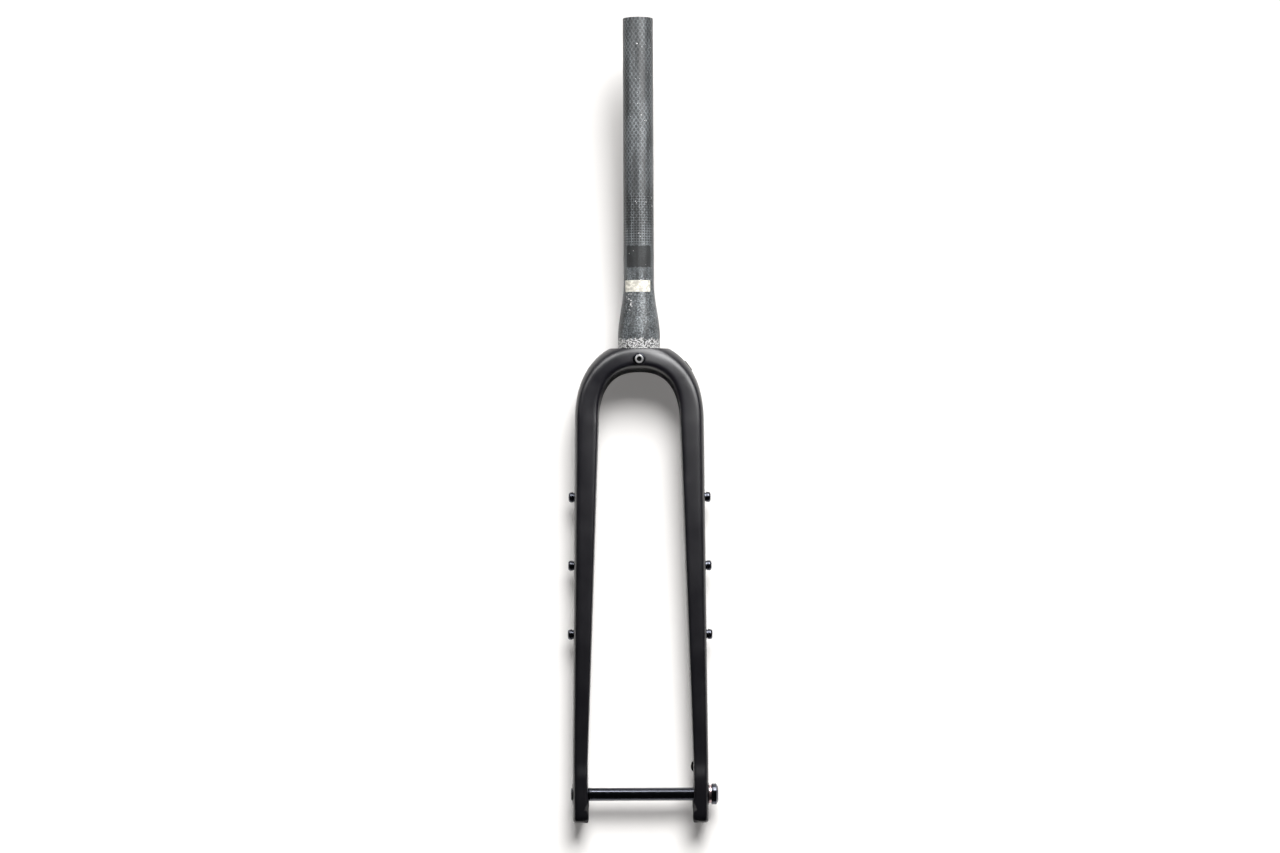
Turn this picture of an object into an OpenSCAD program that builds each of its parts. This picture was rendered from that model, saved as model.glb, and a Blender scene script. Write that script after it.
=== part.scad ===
// Rigid disc-brake bicycle fork with a tapered carbon steerer and a thru axle.
// Millimetres. +Z runs up the steerer, the front of the fork faces -Y, and the rider's left is +X.
// The origin is on the steerer axis, in the plane that the headset's crown race sits on.

/* [Overall] */
// Drop from the crown race plane to the axle
axle_to_crown = 415; // [350:1:500]
// How far the axle sits in front of the steerer axis
rake = 50; // [35:1:60]
// Width between the hub seats
hub_w = 100; // [84:1:120]

/* [Steerer] */
// Outside diameter of the straight part
steerer_d = 28.6; // [25.4:0.1:34.4]
// Wall of the straight part
steerer_wall = 3.1; // [2:0.1:4.5]
// Length above the crown race plane
steerer_l = 312; // [150:1:400]
// Diameter of the crown race seat
race_seat_d = 39.8; // [38:0.1:48]
// Height of the crown race seat
race_seat_h = 10; // [6:0.5:12]
// Height at which the taper meets the straight part
taper_top = 62; // [45:1:80]
// Wall at the foot, where the tube is bonded over the crown's boss
foot_wall = 4.8; // [3.5:0.1:5.8]
// Height of the boss inside the foot
boss_h = 14; // [10:0.5:17]

/* [Crown] */
// Width across the shoulders
crown_w = 121.6; // [112:0.1:146]
// Width of the tyre arch
arch_w = 76.6; // [64:0.1:92]
// Depth of the crown from front to back
crown_depth = 52; // [46:1:62]
// Drop from the crown race plane to the foot of the arch
arch_drop = 70; // [60:1:84]
// Height of the shoulders' curve above the foot of the arch, before the top is cut flat
shoulder_rise = 76; // [75:0.5:91]
// Thickness of the crown above the middle of the arch
crown_t = 21; // [17:0.1:25]
// Fall of the crown's underside from front to back
underside_fall = 4.4; // [0:0.1:6]

/* [Legs] */
// Depth of a leg at the foot of the arch, front to back
leg_top_depth = 43; // [36:1:50]
// Depth of a leg just above the dropout
leg_low_depth = 25; // [22:0.5:28]
// Drop from the crown race plane to where the legs start to lean forward
lean_drop = 30; // [15:1:45]
// How far the leg's inner face stands outside the hub seat, just above the dropout
leg_inset = -1; // [-2:0.1:2]

/* [Dropouts] */
// Thickness from the hub seat to the outer face
dropout_t = 13.2; // [11:0.1:16]
// Radius of the rounded tip, seen from the side
dropout_r = 14; // [12.5:0.5:17]
// Height above the axle at which a leg turns into its dropout
dropout_h = 30; // [24:1:36]
// Drop from the axle to the bottom of the tip
tip_drop = 25.5; // [20:0.5:30]
// Diameter of the recess that takes the hub's end cap
hub_seat_d = 21.5; // [19:0.5:23]
// Depth of that recess
hub_seat_depth = 1.8; // [0.8:0.1:2.5]
// Outside diameter of the metal insert
insert_d = 16; // [15:0.5:18]

/* [Thru axle] */
// Outside diameter of the axle
axle_d = 12; // [12:1:15]
// Diameter of the head
axle_head_d = 19.5; // [17:0.5:24]
// Thickness of the head
axle_head_t = 6.2; // [4:0.1:8]
// Diameter of the washer under the head
axle_washer_d = 16.9; // [16:0.1:20]
// Thickness of that washer
axle_washer_t = 2.5; // [1:0.1:4]
// How far the threaded end stands out
axle_tip = 1.5; // [0:0.1:4]
// Bore of the hollow shaft
axle_bore_d = 8; // [6:0.5:9]
// Hexagon socket in the head, across flats
axle_hex = 6; // [5:1:8]

/* [Cargo mounts] */
// Drop from the crown race plane to the middle bolt
cargo_drop = 204; // [180:1:215]
// Distance from bolt to bolt
cargo_pitch = 64; // [50:1:70]
// Outside diameter of the rivet insert's body
cargo_insert_d = 7; // [6.5:0.1:8]
// Length of the rivet insert's body inside the leg
cargo_insert_l = 9; // [6:0.5:10]
// Height of the insert's collar above the leg
cargo_collar_h = 1.4; // [0.6:0.1:2]
// Diameter of the button head and its washer
cargo_head_d = 9.6; // [8.5:0.1:10]
// Height of the button head
cargo_head_h = 3; // [2.4:0.1:3.5]
// Thickness of the washer
cargo_washer_t = 1.2; // [0.8:0.1:1.6]

/* [Crown bolt] */
// Drop from the crown race plane to the bolt
crown_bolt_drop = 10.2; // [9:0.1:11]
// Outside diameter of the sleeve through the crown
crown_sleeve_d = 8; // [7:0.1:9]
// Depth of the counterbore at each end
crown_spot = 1.8; // [1.5:0.1:2.5]
// Diameter of the washer
crown_washer_d = 11.4; // [10:0.1:13]
// Thickness of the washer
crown_washer_t = 1.2; // [0.8:0.1:1.6]

/* [Brake mount] */
// Distance between the two mounting holes
brake_pitch = 70; // [60:1:80]
// Height of the lower hole above the axle
brake_rise = 36; // [33:1:42]
// How far the mounting face lies behind the axle
brake_back = 32; // [29:0.5:36]
// Width of the mounting face
brake_w = 13; // [11:0.5:13.5]
// Outside diameter of a threaded insert
brake_insert_d = 8; // [7:0.5:9]
// Length of a threaded insert
brake_insert_l = 12; // [8:0.5:13]

/* [Hose route] */
// Bore of the hose tunnel in the left leg
hose_d = 6.6; // [5.5:0.1:7]
// Place of the port on the shoulder's curve, in degrees from the foot of the arch
port_angle = 42.5; // [36:0.5:48]
// Length of the port along the shoulder
port_l = 11.4; // [10:0.1:13]
// Width of the port
port_w = 8.6; // [8:0.1:10]
// Height of the hose's exit above the axle
exit_rise = 25; // [20:0.5:29]
// Diameter of the exit grommet's dome
exit_d = 10.2; // [9:0.1:11]

/* [Hidden] */
// Clearances between pieces
bond = 0.05;              // radial gap of a bonded or screwed joint
slip = 0.1;               // radial gap of a piece that slides in
// M5 thread drawn at its pitch diameter
m5_d = 4.48;
m5_head_d = 8.5;
m5_head_h = 5;
m5_hex = 4;
button_hex = 3;
// Outline exponents: 2 is an ellipse, and more is squarer
shoulder_n = 2.28;
arch_n = 2.45;
face_n = 2.4;             // outward half of a section
inner_n = 8;              // inward half of a section
dropout_n = 4;
tip_n = 4;                // outline of a tip, seen from the side
// Shape of the forward lean: 1 is a straight leg
lean_n = 1.2;
// Small forms
facing = 0.3;             // step from a dropout's side up to its turned face
facing_d = 20.4;
inner_skim = 0.5;         // what is milled off a dropout's inner side
lip_run = 8;              // height over which the lip beside the hub recess comes up, below the axle
tip_edge_r = 3;
spot = 0.5;               // depth of the flat under a cargo insert's collar
collar_d = 8.4;
lead_in = 1;              // depth of the slope at the mouth of a hub recess
lead_in_h = 4;
facet_w = 4;              // width and depth of the facet on a tip's front inner corner
facet_d = 4;
facet_drop = 3;           // drop from the axle to the facet's point
// Resolution of the moulding
ring_n = 32;
tip_steps = 6;
dropout_steps = 10;
leg_steps = 12;
arch_steps = 15;
hose_ring_n = 12;
fine = 64;

// Levels and widths that the pieces share
axle_z = -axle_to_crown;
arch_z = -arch_drop;
leg_low_z = axle_z + dropout_h;
tip_z = axle_z - tip_drop;
tip_centre_z = tip_z + dropout_r;
hub_x = hub_w / 2;
outer_face_x = hub_x + dropout_t;
lip_x = hub_x - hub_seat_depth;
crown_face_y = crown_depth / 2 - crown_spot;
brake_y = -rake + brake_back;
brake_z = [axle_z + brake_rise, axle_z + brake_rise + brake_pitch];
exit_z = axle_z + exit_rise;
rows = ["top", "middle", "bottom"];
sides = ["left", "right"];

// Plain helpers

function mix(a, b, t) = a + (b - a) * t;
function ease(t) = let (c = min(max(t, 0), 1)) c * c * (3 - 2 * c);
function signed_pow(v, e) = sign(v) * pow(abs(v), e);
function unit(v) = v / norm(v);
function side_sign(side) = side == "left" ? 1 : -1;

// Form of a leg, by height

function down_leg(z) = min(1, (arch_z - z) / (arch_z - leg_low_z));
function down_dropout(z) = ease((leg_low_z - z) / (dropout_h / 2));
function outer_x(z) = mix(crown_w / 2, outer_face_x - facing, down_leg(z));
function down_lip(z) = ease((axle_z - z) / lip_run);
function inner_x(z) =
    mix(mix(arch_w / 2, hub_x + leg_inset, down_leg(z)), lip_x - inner_skim, down_lip(z));
function mid_x(z) = (inner_x(z) + outer_x(z)) / 2;
function lean_y(z) = -rake * pow(max(0, (-z - lean_drop) / (axle_to_crown - lean_drop)), lean_n);
function half_depth(z) =
    mix(mix(leg_top_depth, leg_low_depth, down_leg(z)) / 2, dropout_r, down_dropout(z));

// Form of the crown, by angle from the foot of the arch up to the middle

function outline(a, half_w, rise, n) =
    [half_w * pow(cos(a), 2 / n), 0, arch_z + rise * pow(sin(a), 2 / n)];
function shoulder(a) = outline(a, crown_w / 2, shoulder_rise, shoulder_n);
function arch(a) = outline(a, arch_w / 2, arch_drop - crown_t, arch_n);

// A section is [centre, outward direction, half thickness, half depth, squareness, fall]

function leg_section(z, depth, edge) = [
    [mid_x(z), lean_y(z), z], [1, 0, 0], (outer_x(z) - inner_x(z)) / 2 - edge, depth,
    mix(face_n, dropout_n, down_dropout(z)), 0
];
function tip_section(a) =
    let (z = tip_centre_z - dropout_r * pow(sin(a), 2 / tip_n),
         left = min(1, (z - tip_z) / tip_edge_r))
    leg_section(z, dropout_r * pow(cos(a), 2 / tip_n), tip_edge_r * (1 - sqrt(1 - pow(1 - left, 2))));
function crown_section(a) =
    let (outside = shoulder(a), inside = arch(a), middle = (outside + inside) / 2)
    [middle + [0, lean_y(middle.z), 0], unit(outside - inside), norm(outside - inside) / 2,
     mix(leg_top_depth, crown_depth, ease(a / 90)) / 2, face_n, underside_fall / 2 * sin(a)];

// The moulding's sections from a tip up to the middle of the crown

half_sections = concat(
    [for (i = [tip_steps:-1:1]) tip_section(84 * i / tip_steps)],
    [for (i = [0:dropout_steps - 1]) let (z = mix(tip_centre_z, leg_low_z, i / dropout_steps))
        leg_section(z, half_depth(z), 0)],
    [for (i = [0:leg_steps - 1]) let (z = mix(leg_low_z, arch_z, i / leg_steps))
        leg_section(z, half_depth(z), 0)],
    [for (i = [0:arch_steps]) crown_section(90 * i / arch_steps)]
);

function ring_point(s, a) =
    let (squareness = cos(a) < 0 ? max(s[4], inner_n) : s[4],
         u = signed_pow(cos(a), 2 / squareness),
         v = signed_pow(sin(a), 2 / squareness))
    s[0] + s[1] * (s[2] * u + s[5] * min(u, 0) * v) + [0, s[3] * v, 0];
function ring(s) = [for (i = [0:ring_n - 1]) ring_point(s, 360 * i / ring_n)];

// Closed skin over a row of rings that all have the same number of points
module loft(rings) {
    n = len(rings[0]);
    last = len(rings) - 1;
    walls = [for (i = [0:last - 1], j = [0:n - 1], half = [0, 1])
        let (a = i * n + j, b = i * n + (j + 1) % n, c = a + n, d = b + n)
        half == 0 ? [a, d, b] : [a, c, d]];
    polyhedron(
        points = [for (r = rings, p = r) p],
        faces = concat(walls, [[for (j = [0:n - 1]) j]], [[for (j = [n - 1:-1:0]) last * n + j]])
    );
}

// Steerer

function taper_r(z) =
    mix(race_seat_d, steerer_d, ease((z - race_seat_h) / (taper_top - race_seat_h))) / 2;
function bore_r(z) =
    mix(race_seat_d / 2 - foot_wall, steerer_d / 2 - steerer_wall, ease((z - boss_h) / (taper_top - boss_h)));

module steerer() {
    steps = 10;
    chamfer = 0.4;
    outside = [for (i = [0:steps]) let (z = mix(race_seat_h, taper_top, i / steps)) [taper_r(z), z]];
    inside = [for (i = [steps:-1:0]) let (z = mix(boss_h + bond, taper_top, i / steps)) [bore_r(z), z]];
    color("dimgray")
        rotate_extrude($fn = fine)
            polygon(concat(
                [[race_seat_d / 2, 0]],
                outside,
                [[steerer_d / 2, steerer_l - chamfer], [steerer_d / 2 - chamfer, steerer_l],
                 [steerer_d / 2 - steerer_wall, steerer_l]],
                inside,
                [[race_seat_d / 2 - foot_wall, 0]]
            ));
}

// Crown and legs

port_point = shoulder(port_angle);
port_tangent = unit(shoulder(port_angle + 2) - shoulder(port_angle - 2));
port_normal = [port_tangent.z, 0, -port_tangent.x];
port_sink = 1.6;          // how far the port's flange is let into the shoulder
stem_l = 7;               // straight length of the tunnel behind the port and the exit
exit_y = lean_y(exit_z) + 3;
exit_spot = 0.7;          // depth of the flat under the exit grommet
route_y = 8;              // how far the tunnel runs behind the middle of the leg

// Draws its children on the shoulder with +Z out of the surface and +X up along it
module at_port()
    translate(port_point)
        rotate([0, atan2(port_normal.x, port_normal.z), 0])
            children();

// Draws its children with +Z out of the leg's inner side and zero on the flat under the grommet
module at_exit()
    translate([exit_x, exit_y, exit_z])
        rotate([0, -90, 0])
            children();

function bend(a, b, c, steps) = [for (i = [1:steps]) let (t = i / (steps + 1))
    mix(mix(a, b, t), mix(b, c, t), t)];
port_in = port_point - port_normal * stem_l;
leg_in = [mid_x(arch_z - 25), lean_y(arch_z - 25) + route_y, arch_z - 25];
leg_out = [mid_x(exit_z + 34), lean_y(exit_z + 34) + route_y, exit_z + 34];
exit_x = inner_x(exit_z) + exit_spot;
exit_in = [exit_x + stem_l, exit_y, exit_z];
hose_route = concat(
    [port_point + port_normal * 2, port_in],
    bend(port_in, port_in - port_normal * 9, leg_in, 4),
    [for (i = [0:6]) let (z = mix(leg_in.z, leg_out.z, i / 6)) [mid_x(z), lean_y(z) + route_y, z]],
    bend(leg_out, [leg_out.x + 1, exit_y, exit_z + 4], exit_in, 5),
    [exit_in, [exit_x - 2, exit_y, exit_z]]
);

function route_direction(i) =
    unit(hose_route[min(i + 1, len(hose_route) - 1)] - hose_route[max(i - 1, 0)]);
function hose_ring(i) =
    let (d = route_direction(i), across = unit(cross([0, 1, 0], d)), along = cross(d, across))
    [for (j = [0:hose_ring_n - 1]) let (a = 360 * j / hose_ring_n)
        hose_route[i] + hose_d / 2 * (across * cos(a) + along * sin(a))];

module hose_tunnel()
    loft([for (i = [0:len(hose_route) - 1]) hose_ring(i)]);

module oval(l, w)
    union() {
        square([l - w, w], center = true);
        for (end = [-1, 1])
            translate([end * (l - w) / 2, 0])
                circle(d = w, $fn = fine);
    }

module hub_recess(side)
    scale([side_sign(side), 1, 1])
        translate([0, lean_y(axle_z), axle_z]) {
            reach = 2 * inner_skim;
            translate([lip_x - reach, -2 * dropout_r, -2 * tip_drop])
                cube([reach, 4 * dropout_r, 2 * tip_drop + dropout_h / 2]);
            translate([lip_x - reach, 0, 0])
                rotate([0, 90, 0])
                    cylinder(d = hub_seat_d, h = hub_x - lip_x + reach, $fn = fine);
            translate([lip_x - reach, -hub_seat_d / 2, -2 * tip_drop])
                cube([hub_x - lip_x + reach, hub_seat_d, 2 * tip_drop]);
            translate([0, hub_seat_d / 2, -tip_drop])
                rotate([90, 0, 0])
                    linear_extrude(hub_seat_d)
                        polygon([[lip_x - 1, lead_in_h + 1], [hub_x, lead_in_h], [hub_x + lead_in, -1], [lip_x - 1, -1]]);
            tip_facet();
        }

// Takes the front inner corner off a tip along a slope that starts below the axle
module tip_facet() {
    over = 2;
    run = tip_drop - facet_drop;
    low = -tip_drop - over;
    w = facet_w * (run + over) / run;
    d = facet_d * (run + over) / run;
    polyhedron(
        points = [
            [lip_x - over, -dropout_r - over, -facet_drop + (run + over) * (over / w + over / d)],
            [lip_x - over, -dropout_r - over, low],
            [lip_x + w * (1 + over / d), -dropout_r - over, low],
            [lip_x - over, -dropout_r + d * (1 + over / w), low]
        ],
        faces = [[0, 1, 2], [0, 2, 3], [0, 3, 1], [1, 3, 2]]
    );
}

module at_axle(x)
    translate([x, lean_y(axle_z), axle_z])
        rotate([0, 90, 0])
            children();

function cargo_z(row) = -cargo_drop - (search([row], rows)[0] - 1) * cargo_pitch;
function cargo_x(row) = outer_x(cargo_z(row)) - spot;

// Draws its children with +Z out of the leg and zero on the flat under the collar
module at_cargo(side, row)
    scale([side_sign(side), 1, 1])
        translate([cargo_x(row), lean_y(cargo_z(row)), cargo_z(row)])
            rotate([0, 90, 0])
                children();

// The pad swells out of the back of the leg, and stands proud by a skim until its flat is cut
brake_end = 9;            // length of the flat beyond each hole
brake_ramp = 18;          // height over which the pad swells out
brake_skim = 1.2;
brake_n = 4.5;

function brake_section(z) =
    let (low = brake_z[0] - brake_end,
         high = brake_z[1] + brake_end,
         out = ease(min(z - low + brake_ramp, high + brake_ramp - z) / brake_ramp),
         leg_back = lean_y(z) + half_depth(z) - 0.6,
         back = mix(leg_back, max(brake_y + brake_skim, leg_back), out),
         front = lean_y(z) - 2)
    [[mid_x(brake_z[0]), (back + front) / 2, z], [1, 0, 0], brake_w / 2 * mix(0.5, 1, out),
     (back - front) / 2, brake_n, 0];

module brake_pad() {
    ramp_steps = 6;
    low = brake_z[0] - brake_end;
    high = brake_z[1] + brake_end;
    heights = concat(
        [for (i = [0:ramp_steps - 1]) low - brake_ramp * (1 - i / ramp_steps)],
        [for (i = [0:2]) mix(low, high, i / 2)],
        [for (i = [1:ramp_steps]) high + brake_ramp * i / ramp_steps]
    );
    loft([for (z = heights) ring(brake_section(z))]);
}

module brake_flat() {
    low = brake_z[0] - brake_end - 1;
    translate([mid_x(brake_z[0]) - brake_w, brake_y, low])
        cube([2 * brake_w, 10, brake_z[1] + brake_end - low]);
}

module at_brake(z)
    translate([mid_x(brake_z[0]), brake_y, z])
        rotate([90, 0, 0])
            children();

module crown_and_legs() {
    half_rings = [for (s = half_sections) ring(s)];
    middle = len(half_rings) - 1;
    other_rings = [for (i = [middle - 1:-1:0]) [for (p = half_rings[i]) [-p.x, p.y, p.z]]];
    color([0.16, 0.16, 0.18])
        difference() {
            union() {
                difference() {
                    loft(concat(half_rings, other_rings));
                    translate([-crown_w, -crown_w, 0])
                        cube(2 * crown_w);
                }
                translate([0, 0, -crown_t / 2])
                    cylinder(r = race_seat_d / 2 - foot_wall - bond, h = crown_t / 2 + boss_h, $fn = fine);
                for (side = sides)
                    scale([side_sign(side), 1, 1])
                        at_axle(hub_x + 2)
                            cylinder(d = facing_d, h = dropout_t - 2, $fn = fine);
                brake_pad();
            }
            for (side = sides) {
                hub_recess(side);
                scale([side_sign(side), 1, 1])
                    at_axle(hub_x - 1)
                        cylinder(r = insert_d / 2 + bond, h = dropout_t + 2, $fn = fine);
                for (row = rows)
                    at_cargo(side, row) {
                        cylinder(d = cargo_head_d + 1, h = 4, $fn = fine);
                        translate([0, 0, -cargo_insert_l - 1])
                            cylinder(r = cargo_insert_d / 2 + bond, h = cargo_insert_l + 2, $fn = fine);
                    }
            }
            brake_flat();
            for (z = brake_z)
                at_brake(z) {
                    translate([0, 0, -1])
                        cylinder(r = brake_insert_d / 2 + bond, h = brake_insert_l + 1.5, $fn = fine);
                }
            translate([0, crown_depth, -crown_bolt_drop])
                rotate([90, 0, 0])
                    cylinder(r = crown_sleeve_d / 2 + bond, h = 2 * crown_depth, $fn = fine);
            for (face = [0, 180])
                rotate([0, 0, face])
                    translate([0, -crown_face_y, -crown_bolt_drop])
                        rotate([90, 0, 0])
                            cylinder(d = crown_washer_d + 1.2, h = crown_depth, $fn = fine);
            at_port()
                translate([0, 0, -port_sink])
                    linear_extrude(2 * port_sink)
                        oval(port_l + 2 * slip, port_w + 2 * slip);
            at_exit()
                cylinder(d = exit_d + 0.8, h = 4, $fn = fine);
            hose_tunnel();
        }
}

// Threaded and plain metal pieces

module hex_prism(across, h)
    cylinder(d = across / cos(30), h = h, $fn = 6);

module ring_piece(outer_d, inner_d, h)
    difference() {
        cylinder(d = outer_d, h = h, $fn = fine);
        translate([0, 0, -1])
            cylinder(d = inner_d, h = h + 2, $fn = fine);
    }

module crown_sleeve()
    color("silver")
        translate([0, crown_face_y, -crown_bolt_drop])
            rotate([90, 0, 0])
                ring_piece(crown_sleeve_d, m5_d + bond, 2 * crown_face_y);

module at_crown_bolt(out)
    translate([0, -crown_face_y - out, -crown_bolt_drop])
        rotate([90, 0, 0])
            children();

module crown_bolt_washer()
    color("black")
        at_crown_bolt(0)
            ring_piece(crown_washer_d, m5_d + 1, crown_washer_t);

module crown_bolt()
    color("silver")
        at_crown_bolt(crown_washer_t) {
            chamfer = 0.5;
            shank_l = 16;
            difference() {
                rotate_extrude($fn = fine)
                    polygon([
                        [0, -shank_l], [m5_d / 2 - bond, -shank_l], [m5_d / 2 - bond, 0], [m5_head_d / 2, 0],
                        [m5_head_d / 2, m5_head_h - chamfer], [m5_head_d / 2 - chamfer, m5_head_h], [0, m5_head_h]
                    ]);
                translate([0, 0, m5_head_h - 2.5])
                    hex_prism(m5_hex, 3);
            }
        }

// The left insert is plain and the right one is threaded, drawn at the pitch diameter
thread_d = axle_d - 0.97;

module dropout_insert(side)
    color("silver")
        scale([side_sign(side), 1, 1])
            at_axle(hub_x)
                ring_piece(insert_d, side == "left" ? axle_d + 2 * slip : thread_d + 2 * bond, dropout_t);

module axle_washer()
    color("rosybrown")
        at_axle(outer_face_x)
            ring_piece(axle_washer_d, axle_d + 2 * slip, axle_washer_t);

module thru_axle() {
    head_x = outer_face_x + axle_washer_t;
    shaft_l = head_x + outer_face_x + axle_tip;
    thread_l = dropout_t + axle_tip + 1;
    chamfer = 1;
    head_chamfer = 1.8;
    socket_depth = 9;
    web = 3;
    color("black")
        at_axle(head_x)
            difference() {
                rotate_extrude($fn = fine)
                    polygon([
                        [0, -shaft_l], [thread_d / 2 - chamfer, -shaft_l], [thread_d / 2, chamfer - shaft_l],
                        [thread_d / 2, thread_l - shaft_l], [axle_d / 2, thread_l - shaft_l],
                        [axle_d / 2, 0], [axle_head_d / 2, 0],
                        [axle_head_d / 2, axle_head_t - head_chamfer],
                        [axle_head_d / 2 - 1.7 * head_chamfer, axle_head_t], [0, axle_head_t]
                    ]);
                translate([0, 0, -shaft_l - 1])
                    cylinder(d = axle_bore_d, h = shaft_l + 1 + axle_head_t - socket_depth - web, $fn = fine);
                translate([0, 0, axle_head_t - socket_depth])
                    hex_prism(axle_hex, socket_depth + 1);
            }
}

module brake_insert(z)
    color("silver")
        at_brake(z)
            ring_piece(brake_insert_d, m5_d + bond, brake_insert_l);

module cargo_insert(side, row)
    color("dimgray")
        at_cargo(side, row)
            difference() {
                rotate_extrude($fn = fine)
                    polygon([
                        [0, -cargo_insert_l], [cargo_insert_d / 2, -cargo_insert_l], [cargo_insert_d / 2, 0],
                        [collar_d / 2, 0], [collar_d / 2, spot + cargo_collar_h], [0, spot + cargo_collar_h]
                    ]);
                translate([0, 0, -cargo_insert_l - 1])
                    cylinder(d = m5_d + bond, h = cargo_insert_l + 5, $fn = fine);
            }

module cargo_washer(side, row)
    color("black")
        at_cargo(side, row)
            translate([0, 0, spot + cargo_collar_h])
                ring_piece(cargo_head_d, m5_d + 1, cargo_washer_t);

module cargo_bolt(side, row)
    color("black")
        at_cargo(side, row)
            translate([0, 0, spot + cargo_collar_h + cargo_washer_t]) {
                shank_l = 10;
                rim = 0.8;
                top_r = 2.6;
                socket_depth = 1.8;
                difference() {
                    rotate_extrude($fn = fine)
                        polygon(concat(
                            [[0, -shank_l], [m5_d / 2 - bond, -shank_l], [m5_d / 2 - bond, 0], [cargo_head_d / 2, 0]],
                            [for (a = [0:15:90]) [mix(top_r, cargo_head_d / 2, cos(a)), mix(rim, cargo_head_h, sin(a))]],
                            [[0, cargo_head_h]]
                        ));
                    translate([0, 0, cargo_head_h - socket_depth])
                        hex_prism(button_hex, socket_depth + 1);
                }
            }

// Rubber pieces

module hose_port_plug()
    color([0.1, 0.1, 0.1])
        at_port() {
            lift = 0.5;
            translate([0, 0, -port_sink])
                linear_extrude(port_sink)
                    oval(port_l, port_w);
            linear_extrude(lift)
                oval(port_l - 1, port_w - 1);
            translate([0, 0, 1 - stem_l])
                cylinder(d = 0.9 * hose_d, h = stem_l - 1.5, $fn = fine);
        }

module hose_exit_grommet()
    color([0.1, 0.1, 0.1])
        at_exit() {
            dome_h = 3;
            stem_r = 0.45 * hose_d;
            rotate_extrude($fn = fine)
                polygon(concat(
                    [[0, 1 - stem_l], [stem_r, 1 - stem_l], [stem_r, 0], [exit_d / 2, 0]],
                    [for (a = [0:15:75]) [exit_d / 2 * cos(a), dome_h * sin(a)]],
                    [[0, dome_h]]
                ));
        }

steerer();
crown_and_legs();
crown_sleeve();
crown_bolt_washer();
crown_bolt();
dropout_insert("left");  // dropout_insert_left
dropout_insert("right");  // dropout_insert_right
thru_axle();
axle_washer();
brake_insert(brake_z[1]);  // brake_insert_upper
brake_insert(brake_z[0]);  // brake_insert_lower
hose_port_plug();
hose_exit_grommet();
for (side = sides, row = rows) {
    cargo_insert(side, row);
    cargo_washer(side, row);
    cargo_bolt(side, row);
}
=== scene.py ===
"""Bicycle fork with a raw carbon steerer, satin black legs and a thru axle, dressed for a studio view.

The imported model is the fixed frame. This script refines its small pieces, draws the moulded crown and
legs as one fine surface, and adds the threads and the paper label. The fork's sizes are in millimetres,
and MM turns them into metres. The studio's places and the noises' scales are in metres.
"""

from __future__ import annotations

import logging
import math
from dataclasses import dataclass
from enum import Enum
from typing import Callable, Iterable, Sequence

import bmesh
import bpy
import numpy as np
from bpy.types import GeometryNodeTree, Material, Mesh, Node, NodeSocket, NodeTree, Object
from mathutils import Matrix, Vector

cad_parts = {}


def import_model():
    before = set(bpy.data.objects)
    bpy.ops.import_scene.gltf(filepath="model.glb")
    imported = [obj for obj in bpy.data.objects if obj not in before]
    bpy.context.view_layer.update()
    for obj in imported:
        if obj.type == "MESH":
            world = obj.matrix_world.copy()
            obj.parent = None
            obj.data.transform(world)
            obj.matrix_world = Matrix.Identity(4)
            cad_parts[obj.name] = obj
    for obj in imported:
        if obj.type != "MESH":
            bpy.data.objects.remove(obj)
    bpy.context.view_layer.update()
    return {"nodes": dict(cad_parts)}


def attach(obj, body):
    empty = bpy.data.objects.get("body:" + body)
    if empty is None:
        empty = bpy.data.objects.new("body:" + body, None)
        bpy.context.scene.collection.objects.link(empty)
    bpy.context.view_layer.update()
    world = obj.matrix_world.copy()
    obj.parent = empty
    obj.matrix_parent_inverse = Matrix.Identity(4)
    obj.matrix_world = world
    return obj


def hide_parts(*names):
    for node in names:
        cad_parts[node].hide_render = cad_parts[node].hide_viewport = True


Pair = tuple[float, float]
Triple = tuple[float, float, float]
Colour = tuple[float, float, float, float]

MM = 0.001
BODY = "root"
SIDEWAYS = np.array([1.0, 0.0, 0.0])
TURN_COUNT = 72
ARC_STEPS = 32
LOG = logging.getLogger("fork")


class Side(Enum):
    """The rider's left or right, as the sign of X."""

    LEFT = 1
    RIGHT = -1


class Row(Enum):
    """One of the three bolts on a leg, as steps above the middle one."""

    TOP = 1
    MIDDLE = 0
    BOTTOM = -1


def mix(low: float, high: float, share: float) -> float:
    """Returns the value that lies share of the way from low to high."""
    return low + (high - low) * share


def ease(share: float) -> float:
    """Returns share, limited to 0 to 1 and eased at both ends."""
    held = min(max(share, 0.0), 1.0)
    return held * held * (3 - 2 * held)


def new_object(name: str, mesh: Mesh) -> Object:
    """Puts a mesh in the scene.

    Args:
        name: The object's name.
        mesh: Its mesh, already in place.

    Returns:
        The new object, at the origin.
    """
    piece = bpy.data.objects.new(name, mesh)
    bpy.context.scene.collection.objects.link(piece)
    return piece


def mesh_from(name: str, points: np.ndarray, faces: Sequence[Sequence[int]]) -> Mesh:
    """Makes a mesh from points in millimetres.

    Args:
        name: The mesh's name.
        points: Rows of x, y and z.
        faces: Loops of point numbers, seen from outside.

    Returns:
        The mesh, in metres.
    """
    mesh = bpy.data.meshes.new(name)
    mesh.from_pydata((points * MM).tolist(), [], [list(f) for f in faces])
    mesh.update()
    return mesh


def finish_shading(mesh: Mesh, angle: float = 32.0) -> None:
    """Shades a mesh smooth, with sharp edges above an angle in degrees."""
    mesh.shade_smooth()
    mesh.set_sharp_from_angle(angle=math.radians(angle))


def applied(piece: Object) -> Object:
    """Turns a piece's modifiers into plain mesh.

    Args:
        piece: The object to evaluate.

    Returns:
        The same object, with the result as its mesh and no modifiers.
    """
    graph = bpy.context.evaluated_depsgraph_get()
    result = bpy.data.meshes.new_from_object(piece.evaluated_get(graph))
    piece.modifiers.clear()
    old = piece.data
    piece.data = result
    bpy.data.meshes.remove(old)
    return piece


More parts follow.
